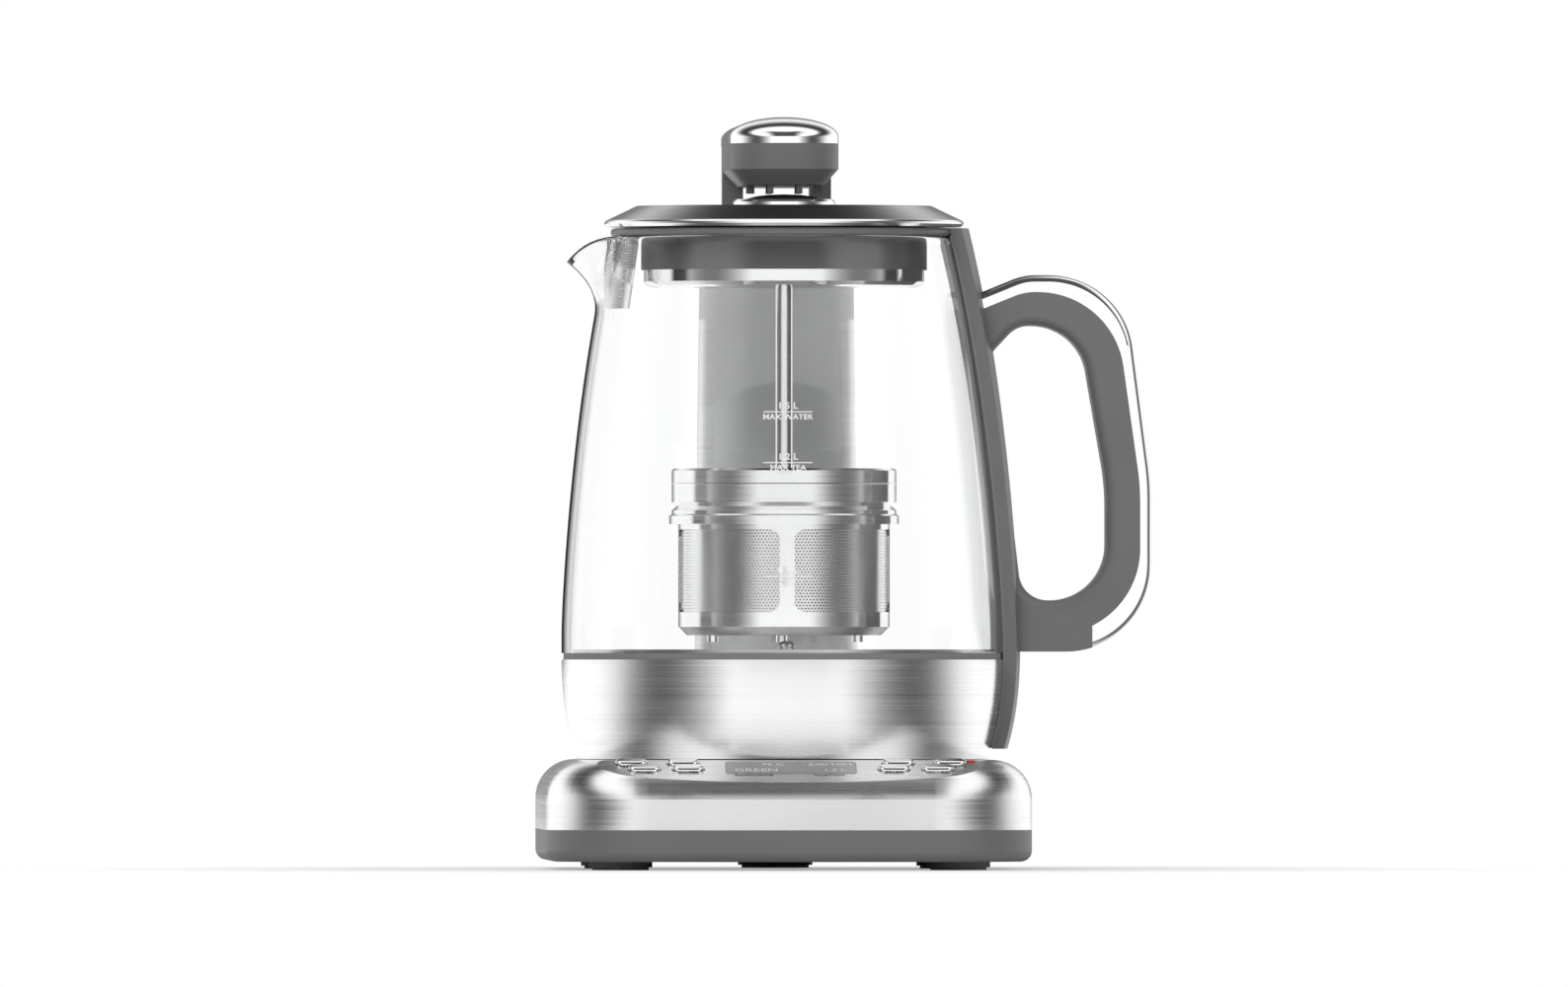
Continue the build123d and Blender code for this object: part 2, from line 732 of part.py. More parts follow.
with BuildPart() as drive_nut:
    with Locations((0, screw_axis_y, column_foot - carriage_height)):
        Cylinder(nut_radius, nut_height, align=upright)
        Cylinder(screw_shaft_radius + running_gap, 4 * nut_height, mode=Mode.SUBTRACT)
finish(drive_nut, "drive_nut")

with BuildPart() as guide_bushes:
    with Locations(*[(x * guide_reach, guide_y, column_foot - carriage_height) for x in (-1, 1)]):
        Cylinder(guide_rod_radius + bush_wall, carriage_height, align=upright)
        Cylinder(guide_rod_radius + running_gap, 4 * carriage_height, mode=Mode.SUBTRACT)
finish(guide_bushes, "guide_bushes")


# ---------- jug ----------
def spout_wedge(inset, low, high, grow=0.0):
    """The spout's outside moved inwards: sections tangent to the jug's round, drawn to a rounded nose."""
    with BuildPart() as wedge:
        levels = 5
        for i in range(levels):
            z = low + (high - low) * i / (levels - 1)
            rise = (z - spout_start_height) / (spout_tip_height - spout_start_height)
            round_here = jug_outline(z) - inset
            start = jug_outline(spout_start_height) - inset
            tip = start + (spout_reach - inset - start) * max(rise, 0.0) ** 0.85
            tip = max(tip, round_here - 0.4) + grow
            nose = spout_nose - inset
            centre = tip - nose
            reach = math.acos(min(1.0, (round_here - nose) / max(centre, round_here - nose + 1e-6)))
            side = max(reach, math.radians(12))
            root = (-round_here * 0.97 * math.cos(side), round_here * 0.97 * math.sin(side))
            shoulder = (-centre - nose * math.cos(side), nose * math.sin(side))
            with BuildSketch(Plane.XY.offset(z)):
                with BuildLine():
                    Line(root, shoulder)
                    ThreePointArc(shoulder, (-tip, 0), (shoulder[0], -shoulder[1]))
                    Line((shoulder[0], -shoulder[1]), (root[0], -root[1]))
                    Line((root[0], -root[1]), root)
                make_face()
        loft()
    return wedge.part


with BuildPart() as glass_body:
    add(jug_core(glass_foot, mouth, 0))
    add(spout_wedge(0, spout_start_height - 1, mouth))
    add(jug_core(glass_foot - 1, mouth + 1, -glass_wall), mode=Mode.SUBTRACT)
    add(spout_wedge(glass_wall, spout_start_height + 1, mouth + 1), mode=Mode.SUBTRACT)
    # the lip falls from the rim to the nose
    with BuildSketch(Plane.XZ) as lip:
        with BuildLine():
            edge = Spline((-mouth_radius + 1.5, mouth), (-(mouth_radius + 4), mouth - 1.8),
                          (-spout_reach - 0.5, spout_tip_height), tangents=[(-1, 0), (-0.75, -0.66)])
            Polyline(edge @ 1, (-spout_reach - 6, spout_tip_height - 4), (-spout_reach - 6, mouth + 3),
                     (-mouth_radius + 1.5, mouth + 3), edge @ 0)
        make_face()
    extrude(amount=60, both=True, mode=Mode.SUBTRACT)
finish(glass_body, "glass_body")

with BuildPart() as jug_collar:
    add(ring(mouth_radius - collar_wall, mouth_radius, mouth, collar_top_face))
    rims = jug_collar.edges().filter_by(GeomType.CIRCLE)
    fillet(rims.filter_by(lambda e: e.radius > mouth_radius - 0.1), 1.2)
finish(jug_collar, "jug_collar")

with BuildPart() as jug_base_shell:
    add(jug_band(jug_foot, seam, -steel_wall, 0))
finish(jug_base_shell, "jug_base_shell")

with BuildPart() as base_seal:
    add(ring(jug_radius - 0.7 - seal_width, jug_radius - 0.7, seam, glass_foot))
finish(base_seal, "base_seal")

plate_foot = glass_foot - plate_sink
with BuildPart() as heating_plate:
    add(ring(0, jug_radius - glass_wall - 1.6, glass_foot, floor_top))
    add(ring(0, jug_radius - 0.7 - seal_width - seat_gap, plate_foot, glass_foot))
    with Locations((0, -probe_reach, glass_foot)):
        Cylinder(probe_radius + seat_gap, 30, mode=Mode.SUBTRACT)
finish(heating_plate, "heating_plate")

with BuildPart() as heater_element:
    with BuildSketch(Plane.XZ):
        with Locations((heater_reach, plate_foot - heater_radius)):
            Circle(heater_radius)
    revolve(axis=Axis.Z, revolution_arc=300)
finish(heater_element, "heater_element")

with BuildPart() as jug_bottom:
    add(jug_core(jug_foot, jug_foot + bottom_height, -steel_wall - seat_gap))
    add(ring(0, connector_radius + socket_wall, jug_foot - 1, jug_foot + bottom_height + 1),
        mode=Mode.SUBTRACT)
    with BuildSketch(Plane.XY.offset(jug_foot + bottom_height)):
        with PolarLocations(bottom_post_reach, 3, start_angle=30):
            Circle(post_radius)
    extrude(amount=plate_foot - jug_foot - bottom_height)
finish(jug_bottom, "jug_bottom")

socket_top = deck + connector_height + part_gap
with BuildPart() as jug_connector:
    add(ring(connector_radius + part_gap, connector_radius + socket_wall - seat_gap,
             jug_foot + 0.4, socket_top))
    add(ring(0, connector_radius + socket_wall + 4, socket_top, socket_top + socket_roof))
    add(ring(0, connector_pin_radius - part_gap, deck + 4, socket_top))
    for radius in (contact_inner_radius, contact_outer_radius):
        add(ring(radius - contact_thickness / 2, radius + contact_thickness / 2, deck + 5, socket_top))
finish(jug_connector, "jug_connector")

with BuildPart() as temperature_probe:
    with Locations((0, -probe_reach, glass_foot - 12)):
        Cylinder(probe_radius, floor_top + probe_rise - glass_foot + 12, align=upright)
    fillet(temperature_probe.edges().group_by(Axis.Z)[-1], 2.0)
finish(temperature_probe, "temperature_probe")

with BuildPart() as strap_zone:
    with BuildSketch(Plane.YZ.offset(30)):
        Polygon(
            (-strap_half_low, strap_foot), (strap_half_low, strap_foot),
            (strap_half_high, collar_top_face), (-strap_half_high, collar_top_face), align=None,
        )
    extrude(amount=80)

with BuildPart() as handle_strap:
    add(jug_band(strap_foot, collar_top_face, strap_gap, strap_gap + strap_thickness))
    add(strap_zone.part, mode=Mode.INTERSECT)
finish(handle_strap, "handle_strap")

with BuildPart() as strap_seal:
    add(jug_band(strap_foot + 1, mouth, 0.05, strap_gap))
    add(strap_zone.part, mode=Mode.INTERSECT)
finish(strap_seal, "strap_seal")


def loop_form(top, reach, foot, corner, width):
    """A handle loop closed on the jug's side: it leans outwards down to its widest place."""
    widest_place = (handle_top + handle_foot) / 2 - loop_drop
    with BuildPart() as form:
        with BuildSketch(Plane.XZ) as outline:
            with BuildLine():
                loop = FilletPolyline(
                    (jug_radius - 20, top - shoulder_rise), (jug_radius + handle_shoulder, top),
                    (reach - handle_lean, top), (reach, widest_place), (reach, foot),
                    (jug_radius - 20, foot), radius=[shoulder_round, corner, loop_bow, corner],
                )
                Line(loop @ 1, loop @ 0)
            make_face()
        extrude(to_extrude=outline.sketch, amount=width / 2, both=True)
    return form.part


grip_top, grip_reach = handle_top - trim_crown, handle_reach - trim_side
strap_face = strap_gap + strap_thickness

with BuildPart() as strap_core:
    add(jug_core(strap_foot, collar_top_face, strap_face))

with BuildPart() as grip_loop:
    add(loop_form(grip_top, grip_reach, handle_foot + trim_crown, handle_round, grip_width))

with BuildPart() as trim_zone:
    # where the trim has ended and the grip itself is the outside
    with Locations((trim_end, 0, handle_foot + handle_round)):
        Box(200, 2 * grip_width, 200, align=(Align.MAX, Align.CENTER, Align.MAX))

gap_top, gap_foot = grip_top - grip_thickness, handle_foot + grip_root
gap_outer, gap_inner = grip_reach - grip_thickness, jug_outline(gap_foot) + strap_face + grip_web
gap_side = (handle_top + handle_foot) / 2 - loop_drop - gap_foot
gap_round = min(gap_round_share * (gap_outer - gap_inner), gap_side_share * gap_side)
gap_root_round = gap_root_share * (gap_outer - gap_inner)
with BuildPart() as finger_gap:
    with BuildSketch(Plane.XZ) as gap_outline:
        with BuildLine():
            FilletPolyline(
                (jug_outline(gap_top) + strap_face + grip_web, gap_top - gap_rise),
                (jug_radius + gap_shoulder, gap_top), (gap_outer - handle_lean, gap_top),
                (gap_outer, (handle_top + handle_foot) / 2 - loop_drop),
                (gap_outer, gap_foot), (gap_inner, gap_foot),
                radius=[gap_notch, gap_root_round, gap_round, loop_bow, gap_round, gap_root_round],
                close=True,
            )
        make_face()
    extrude(gap_outline.sketch, amount=grip_width, both=True)

with BuildPart() as handle_grip:
    add(loop_form(handle_top, handle_reach, handle_foot, handle_round, grip_width))
    add(trim_zone.part, mode=Mode.INTERSECT)
    add(grip_loop.part)
    add(finger_gap.part, mode=Mode.SUBTRACT)
    gap_edges = handle_grip.edges(Select.LAST).filter_by(
        lambda e: abs(abs(e.center().Y) - grip_width / 2) < 0.01)
    fillet(gap_edges, grip_edge)
    add(strap_core.part, mode=Mode.SUBTRACT)
finish(handle_grip, "handle_grip")

with BuildPart() as handle_trim:
    add(loop_form(handle_top, handle_reach, handle_foot, handle_round, trim_width))
    outside = handle_trim.edges().filter_by(lambda e: abs(abs(e.center().Y) - trim_width / 2) < 0.01)
    fillet(outside.filter_by(lambda e: e.bounding_box().max.X > jug_radius - 19), trim_edge)
    add(loop_form(grip_top, grip_reach, handle_foot + trim_crown, handle_round, 2 * grip_width),
        mode=Mode.SUBTRACT)
    add(trim_zone.part, mode=Mode.SUBTRACT)
    add(strap_core.part, mode=Mode.SUBTRACT)
finish(handle_trim, "handle_trim")


# ---------- spout filter ----------
def filter_pocket(inset):
    """A scoop that hangs inside the spout, open towards it."""
    with BuildPart() as pocket:
        for z, inner, width in ((mouth - filter_drop, filter_inner_high, filter_width_high),
                                (filter_foot + inset, filter_inner_low, filter_width_low)):
            with BuildSketch(Plane.XY.offset(z)):
                with Locations((-filter_outer, 0)):
                    SlotOverall(2 * (filter_outer - inner - inset), width - 2 * inset)
        loft()
    return pocket.part


with BuildPart() as spout_filter:
    add(filter_pocket(0))
    add(filter_pocket(filter_wall), mode=Mode.SUBTRACT)
    add(jug_core(filter_foot - 10, mouth, -glass_wall - part_gap), mode=Mode.INTERSECT)
finish(spout_filter, "spout_filter")

# ---------- lid ----------
with BuildPart() as lid_cover:
    add(turned([
        (mouth_radius - 1.5, lid_foot), (lid_radius - 1.0, lid_foot), (lid_radius, lid_foot + 1.0),
        (lid_radius, lid_foot + lid_rim - 0.6), (lid_radius - 0.6, lid_foot + lid_rim),
        (lid_crown_radius, lid_top), (knob_ring_radius - 2.0, lid_top),
        (knob_ring_radius - 2.0, lid_top - lid_wall),
        (lid_crown_radius - 0.4, lid_top - lid_wall), (lid_radius - 2.0, lid_foot + lid_rim - 1.0),
        (mouth_radius - 1.5, lid_foot + 0.8),
    ]))
finish(lid_cover, "lid_cover")

plug_foot = lid_foot - plug_depth
with BuildPart() as lid_plug:
    add(turned([
        (rod_radius + 3.2, plug_foot), (plug_radius, plug_foot), (plug_radius, lid_foot + 0.8),
        (mouth_radius - 2.0, lid_foot + 0.8), (lid_crown_radius - 3.0, lid_top - lid_wall - 0.3),
        (knob_ring_radius - 2.4, lid_top - lid_wall - 0.3), (knob_ring_radius - 2.4, lid_top - 4.2),
        (rod_radius + 3.2, lid_top - 4.2),
    ]))
    add(turned([
        (knob_ring_radius + 2, plug_foot + 2.4), (plug_radius - 2.4, plug_foot + 2.4),
        (plug_radius - 2.4, lid_foot + 1.0), (knob_ring_radius + 2, lid_foot + 1.0),
    ]), mode=Mode.SUBTRACT)
finish(lid_plug, "lid_plug")

with BuildPart() as lid_seal:
    add(ring(plug_radius + 0.05, mouth_radius - collar_wall - part_gap, mouth + 0.6, collar_top_face - 0.6))
finish(lid_seal, "lid_seal")

plate_radius, plate_low = plug_radius - 1.0, plug_foot - plate_depth
with BuildPart() as lid_underplate:
    add(turned([
        (rod_radius + 1.2, plate_low + 4.0), (plate_radius - plate_dish, plate_low + plate_wall),
        (plate_radius - plate_rim, plate_low), (plate_radius - 1.2, plate_low + 0.6),
        (plate_radius, plate_low + 2.0), (plate_radius, plug_foot), (plate_radius - 1, plug_foot),
        (plate_radius - 1, plate_low + 2.4), (plate_radius - plate_rim, plate_low + plate_wall),
        (plate_radius - plate_dish, plate_low + 2 * plate_wall),
        (rod_radius + 1.2, plate_low + 4.0 + plate_wall),
    ]))
finish(lid_underplate, "lid_underplate")

with BuildPart() as knob_ring:
    add(turned([
        (knob_radius + 0.8, lid_top - 1.0), (knob_ring_radius - 2.2, lid_top - 1.0),
        (knob_ring_radius - 2.2, lid_top),
        (knob_ring_radius, lid_top), (knob_ring_radius, lid_top + knob_ring_height - 0.9),
        (knob_ring_radius - 0.9, lid_top + knob_ring_height),
        (knob_radius + 1.6, lid_top + knob_ring_height),
        (knob_radius + 0.8, lid_top + knob_ring_height - 0.8),
    ]))
finish(knob_ring, "knob_ring")

with BuildPart() as lid_bush:
    add(ring(rod_radius + running_gap, rod_radius + 3.0, plug_foot - 0.8, lid_top - 4.2))
    add(ring(rod_radius + running_gap, bush_radius + 2, lid_top - 4.2, lid_top - 3.0))
finish(lid_bush, "lid_bush")

# ---------- basket ----------
knob_foot = lid_top - 3.0
with BuildPart() as rod_knob:
    add(turned([
        (0, knob_foot + 2), (rod_radius, knob_foot + 2), (rod_radius, knob_foot),
        (knob_radius - 0.5, knob_foot), (knob_radius, knob_foot + 0.5), (knob_radius, lid_top + 1.8),
        (knob_radius - 0.8, lid_top + 2.6), (knob_radius - 3.6, lid_top + 3.4),
        (knob_radius - 8.0, lid_top + 4.0), (0, lid_top + 4.2),
    ]))
finish(rod_knob, "rod_knob")

with BuildPart() as lift_rod:
    add(ring(0, rod_radius, cover_top - 4.0, knob_foot + 2))
finish(lift_rod, "lift_rod")

with BuildPart() as basket_cover:
    add(turned([
        (rod_radius + running_gap, collar_top + part_gap), (basket_collar_radius, collar_top + part_gap),
        (basket_collar_radius, cover_top - 0.8), (basket_collar_radius - 0.8, cover_top),
        (rod_radius + running_gap, cover_top),
    ]))
    add(turned([
        (rod_radius + 4, collar_top - 1), (basket_collar_radius - 4, collar_top - 1),
        (basket_collar_radius - 4, cover_top - 1.2), (rod_radius + 4, cover_top - 1.2),
    ]), mode=Mode.SUBTRACT)
finish(basket_cover, "basket_cover")

inner_radius = basket_radius - basket_wall
with BuildPart() as basket_body:
    add(turned([
        (0, basket_foot), (basket_radius - 3, basket_foot), (basket_radius, basket_foot + 3),
        (basket_radius, collar_foot), (flange_radius, collar_foot), (flange_radius, collar_foot + 3.0),
        (basket_collar_radius, collar_foot + 3.6), (basket_collar_radius, collar_foot + 4.9),
        (basket_collar_radius - 1.6, collar_foot + 6.4), (basket_collar_radius, collar_foot + 7.9),
        (basket_collar_radius, collar_top), (inner_radius, collar_top), (inner_radius, basket_foot + 3.4),
        (basket_radius - 3.4, basket_foot + basket_wall), (0, basket_foot + basket_wall),
    ]))
    for i in range(window_count):
        angle = math.radians(45 + 360 / window_count * i)
        facing = Plane(origin=(0, 0, 0), x_dir=(-math.sin(angle), math.cos(angle), 0),
                       z_dir=(math.cos(angle), math.sin(angle), 0))
        half = math.pi / window_count - window_bar / 2 / basket_radius
        with BuildSketch(facing):
            with Locations((0, (window_top + window_foot) / 2)):
                RectangleRounded(2 * basket_radius * math.sin(half), window_top - window_foot, window_round)
        extrude(amount=2 * basket_radius, mode=Mode.SUBTRACT)
    with PolarLocations(nub_reach, 3, start_angle=90):
        with Locations((0, 0, basket_foot - nub_height)):
            Cylinder(nub_radius, nub_height + 0.2, align=upright)
finish(basket_body, "basket_body")

with BuildPart() as basket_mesh:
    add(ring(inner_radius - 0.4, inner_radius - 0.05, window_foot - 3, window_top + 1.5))
finish(basket_mesh, "basket_mesh")
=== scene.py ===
import math
import bmesh
import bpy
from mathutils import Matrix, Vector


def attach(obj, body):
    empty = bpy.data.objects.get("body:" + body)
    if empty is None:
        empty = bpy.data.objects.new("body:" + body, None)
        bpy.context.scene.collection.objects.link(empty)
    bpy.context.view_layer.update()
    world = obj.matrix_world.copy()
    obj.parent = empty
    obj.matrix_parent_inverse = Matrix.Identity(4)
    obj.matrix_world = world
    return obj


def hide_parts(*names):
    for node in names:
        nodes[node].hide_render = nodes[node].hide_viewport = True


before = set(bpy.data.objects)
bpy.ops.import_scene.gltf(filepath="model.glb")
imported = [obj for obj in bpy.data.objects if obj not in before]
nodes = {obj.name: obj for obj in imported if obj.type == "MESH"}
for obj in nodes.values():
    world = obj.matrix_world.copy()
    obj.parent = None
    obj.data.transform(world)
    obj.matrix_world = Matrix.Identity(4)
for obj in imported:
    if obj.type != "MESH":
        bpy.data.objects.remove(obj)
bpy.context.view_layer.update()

mm = 0.001
print("frame loaded:", len(nodes), "nodes")

# the camera comes first, because everything is judged through it
view = {
    "lens": 1000.0, "sensor": 36.0, "frameWidth": 0.5637, "aim": (0.0, 0.0, 0.1351),
    "azimuth": -1.7, "elevation": -0.2, "clip": (1.0, 100.0),
}
cameraData = bpy.data.cameras.new("longLensCamera")
cameraData.lens, cameraData.sensor_width = view["lens"], view["sensor"]
cameraData.clip_start, cameraData.clip_end = view["clip"]
camera = bpy.data.objects.new("longLensCamera", cameraData)
bpy.context.scene.collection.objects.link(camera)
distance = view["frameWidth"] * view["lens"] / view["sensor"]
turn, lift = math.radians(view["azimuth"]), math.radians(view["elevation"])
outward = Vector((math.sin(turn) * math.cos(lift), -math.cos(turn) * math.cos(lift), math.sin(lift)))
camera.location = Vector(view["aim"]) + outward * distance
camera.rotation_euler = outward.to_track_quat("Z", "Y").to_euler()
bpy.context.scene.camera = camera
bpy.context.scene.view_settings.view_transform = "Standard"


# shader helpers
class Value:
    def __init__(self, tree, socket):
        self.tree, self.socket = tree, socket

    def sums(self, operation, first, second):
        return self.tree.node("ShaderNodeMath", {"operation": operation}, {0: first, 1: second})

    def __add__(self, other): return self.sums("ADD", self, other)
    def __radd__(self, other): return self.sums("ADD", other, self)
    def __sub__(self, other): return self.sums("SUBTRACT", self, other)
    def __rsub__(self, other): return self.sums("SUBTRACT", other, self)
    def __mul__(self, other): return self.sums("MULTIPLY", self, other)
    def __rmul__(self, other): return self.sums("MULTIPLY", other, self)
    def __truediv__(self, other): return self.sums("DIVIDE", self, other)
    def __rtruediv__(self, other): return self.sums("DIVIDE", other, self)
    def __pow__(self, other): return self.sums("POWER", self, other)
    def __gt__(self, other): return self.sums("GREATER_THAN", self, other)


class Tree:
    def __init__(self, owner):
        owner.use_nodes = True
        self.nodes, self.links = owner.node_tree.nodes, owner.node_tree.links
        self.nodes.clear()

    def node(self, kind, settings=None, inputs=None, out=0):
        made = self.nodes.new(kind)
        for name, value in (settings or {}).items():
            if name == "stops":
                ramp = made.color_ramp
                while len(ramp.elements) < len(value):
                    ramp.elements.new(0.5)
                for element, (place, level) in zip(ramp.elements, value):
                    element.position = place
                    element.color = (level, level, level, 1) if isinstance(level, float) else (*level, 1)
            else:
                setattr(made, name, value)
        for name, value in (inputs or {}).items():
            if isinstance(value, Value):
                self.links.new(value.socket, made.inputs[name])
            elif isinstance(value, tuple) and made.inputs[name].type == "RGBA":
                made.inputs[name].default_value = (*value, 1)
            else:
                made.inputs[name].default_value = value
        return Value(self, made.outputs[out])

    def place(self, scale=(1, 1, 1), shift=(0, 0, 0)):
        spot = self.node("ShaderNodeTexCoord", out="Object")
        return self.node("ShaderNodeMapping", inputs={"Vector": spot, "Scale": scale, "Location": shift})

    # one axis of a vector
    def axis(self, vector, name):
        return self.node("ShaderNodeSeparateXYZ", inputs={0: vector}, out=name)

    # a Math node beyond the plain operators
    def maths(self, operation, *values):
        return self.node("ShaderNodeMath", {"operation": operation}, dict(enumerate(values)))

    def lightPath(self, name):
        return self.node("ShaderNodeLightPath", out=name)

    def noise(self, vector, scale, detail=3.0, roughness=0.5):
        return self.node("ShaderNodeTexNoise", inputs={
            "Vector": vector, "Scale": scale, "Detail": detail, "Roughness": roughness})

    def range(self, value, low, high, start, end, smooth=False):
        kind = "SMOOTHSTEP" if smooth else "LINEAR"
        return self.node("ShaderNodeMapRange", {"interpolation_type": kind}, {
            "Value": value, "From Min": low, "From Max": high, "To Min": start, "To Max": end})

    def blend(self, factor, first, second):
        return self.node("ShaderNodeMix", {"data_type": "RGBA"}, {0: factor, 6: first, 7: second}, out=2)

    def bump(self, height, strength, depth):
        return self.node("ShaderNodeBump", inputs={"Height": height, "Strength": strength, "Distance": depth})

    def surface(self, inputs):
        return self.node("ShaderNodeBsdfPrincipled", inputs=inputs)

    def output(self, shader, kind="ShaderNodeOutputMaterial"):
        self.links.new(shader.socket, self.nodes.new(kind).inputs["Surface"])


def newMaterial(name):
    material = bpy.data.materials.new(name)
    return material, Tree(material)


# plastics: satin mouldings with a fine spark-eroded grain
def plastic(name, colour, gloss=0.42, grain=0.012, spread=0.05):
    material, tree = newMaterial(name)
    spot = tree.place()
    cloud = tree.noise(spot, 22.0, 4.0)
    fine = tree.noise(spot, 2600.0, 2.0, 0.6)
    dark = tuple(c * (1 - spread) for c in colour)
    light = tuple(min(1.0, c * (1 + spread)) for c in colour)
    shade = tree.blend(tree.range(cloud, 0.3, 0.7, 0.0, 1.0), dark, light)
    rough = tree.range(cloud * 0.6 + fine * 0.4, 0.3, 0.7, gloss - 0.05, gloss + 0.06)
    tree.output(tree.surface({
        "Base Color": shade, "Roughness": rough, "IOR": 1.5,
        "Normal": tree.bump(fine, 0.25, grain * mm)}))
    return material


# steel brushed along a direction: lines are thin across it and long along it
def steel(name, colour=(0.93, 0.93, 0.935), gloss=0.24, lines=(3.0, 3.0, 1500.0), streak=0.10, stretch=0.7,
          depth=0.006):
    material, tree = newMaterial(name)
    spot = tree.place(lines)
    brush = tree.noise(spot, 1.0, 3.0, 0.65)
    coarse = tree.noise(tree.place(tuple(s * 0.25 for s in lines), (7.1, 3.3, 1.7)), 1.0, 2.0)
    cloud = tree.noise(tree.place(), 14.0, 3.0)
    mixed = brush * 0.6 + coarse * 0.4
    dark = tuple(c * (1 - streak) for c in colour)
    light = tuple(min(1.0, c * (1 + streak * 0.7)) for c in colour)
    shade = tree.blend(tree.range(mixed, 0.34, 0.66, 0.0, 1.0), dark, light)
    rough = tree.range(mixed * 0.7 + cloud * 0.3, 0.35, 0.65, gloss - 0.06, gloss + 0.07)
    tree.output(tree.surface({
        "Base Color": shade, "Metallic": 1.0, "Roughness": rough, "Anisotropic": stretch,
        "Anisotropic Rotation": 0.25, "Normal": tree.bump(mixed, 0.18, depth * mm)}))
    return material


def chrome(name, colour=(0.86, 0.86, 0.87), gloss=0.07):
    material, tree = newMaterial(name)
    smear = tree.noise(tree.place(), 30.0, 5.0, 0.6)
    fine = tree.noise(tree.place((1, 1, 1), (2.2, 0.4, 5.0)), 420.0, 2.0)
    rough = tree.range(smear * 0.7 + fine * 0.3, 0.35, 0.65, gloss * 0.6, gloss * 1.6)
    shade = tree.blend(smear, tuple(c * 0.97 for c in colour), colour)
    tree.output(tree.surface({
        "Base Color": shade, "Metallic": 1.0, "Roughness": rough,
        "Normal": tree.bump(fine, 0.03, 0.002 * mm)}))
    return material


# clear glass: its steep edges carry painted shade, a dark tint standing in for the dark edges that refraction
# gives glass, and light passes straight through it
glassEdgeShade = {"start": 0.80, "full": 0.90, "dark": 0.9, "shade": (0.02, 0.022, 0.021)}


def glass(name, tint=(0.985, 0.995, 0.992)):
    material, tree = newMaterial(name)
    haze = tree.noise(tree.place(), 18.0, 3.0)
    rough = tree.range(haze, 0.3, 0.7, 0.0, 0.012)
    shade = tree.blend(haze, tint, (1.0, 1.0, 1.0))
    clear = tree.surface({"Base Color": shade, "Roughness": rough, "IOR": 1.47, "Transmission Weight": 1.0})
    through = tree.node("ShaderNodeBsdfTransparent", inputs={"Color": (0.97, 0.975, 0.973)})
    light = tree.maths("MAXIMUM", tree.lightPath("Is Shadow Ray"), tree.lightPath("Is Diffuse Ray"))
    facing = tree.node("ShaderNodeLayerWeight", inputs={"Blend": 0.5}, out="Facing")
    outside = 1.0 - tree.node("ShaderNodeNewGeometry", out="Backfacing")
    # painted shade: a dark see-through layer laid over the glass's steep edges
    rim = tree.node("ShaderNodeBsdfTransparent", inputs={"Color": glassEdgeShade["shade"]})
    paintedEdgeShade = tree.range(facing, glassEdgeShade["start"], glassEdgeShade["full"], 0.0, glassEdgeShade["dark"], smooth=True)
    body = tree.node("ShaderNodeMixShader", inputs={0: paintedEdgeShade * outside, 1: clear, 2: rim})
    tree.output(tree.node("ShaderNodeMixShader", inputs={0: light, 1: body, 2: through}))
    return material


# polished trim whose upward faces near the jug carry a painted dark reflection
def darkReflectionTrim(name, near, far, bright=(0.93, 0.93, 0.935), dark=(0.10, 0.10, 0.102)):
    material, tree = newMaterial(name)
    spot = tree.place()
    # painted reflection: faces that look up are darkened, fading out away from the jug
    up = tree.axis(tree.node("ShaderNodeNewGeometry", out="Normal"), "Z")
    paintedDarkReflection = tree.range(up, 0.15, 0.75, 0.0, 1.0, smooth=True) * tree.range(
        tree.axis(spot, "X"), near * mm, far * mm, 1.0, 0.0, smooth=True)
    smear = tree.noise(spot, 30.0, 5.0, 0.6)
    shade = tree.blend(paintedDarkReflection, bright, dark)
    shade = tree.blend(smear * 0.05, shade, (0.5, 0.5, 0.5))
    tree.output(tree.surface({
        "Base Color": shade, "Metallic": 1.0, "Roughness": tree.range(smear, 0.35, 0.65, 0.05, 0.11)}))
    return material


# drawn steel whose cone is darkened with painted shade, while its polished rim keeps the plain steel colour
def shadedConeSteel(name, rimTop, paintedShadeCone=(0.34, 0.34, 0.345), rim=(0.93, 0.93, 0.935)):
    material, tree = newMaterial(name)
    spot = tree.place()
    smear = tree.noise(spot, 26.0, 4.0, 0.6)
    rings = tree.noise(tree.place((40.0, 40.0, 40.0)), 1.0, 2.0)
    onShadedCone = tree.range(tree.axis(spot, "Z"), rimTop * mm, (rimTop + 0.25) * mm, 0.0, 1.0)
    # painted shade: the cone above the rim gets a darker colour
    shade = tree.blend(onShadedCone, rim, paintedShadeCone)
    shade = tree.blend(smear * 0.06, shade, (0.3, 0.3, 0.3))
    tree.output(tree.surface({
        "Base Color": shade, "Metallic": 1.0,
        "Roughness": tree.range(smear * 0.7 + rings * 0.3, 0.35, 0.65, 0.10, 0.17)}))
    return material


def rubber(name, colour=(0.12, 0.12, 0.12)):
    material, tree = newMaterial(name)
    spot = tree.place()
    fine = tree.noise(spot, 1500.0, 3.0, 0.6)
    dust = tree.noise(spot, 35.0, 4.0)
    shade = tree.blend(dust, tuple(c * 0.9 for c in colour), tuple(c * 1.15 for c in colour))
    tree.output(tree.surface({
        "Base Color": shade, "Roughness": tree.range(dust, 0.3, 0.7, 0.62, 0.78),
        "Normal": tree.bump(fine, 0.3, 0.02 * mm)}))
    return material


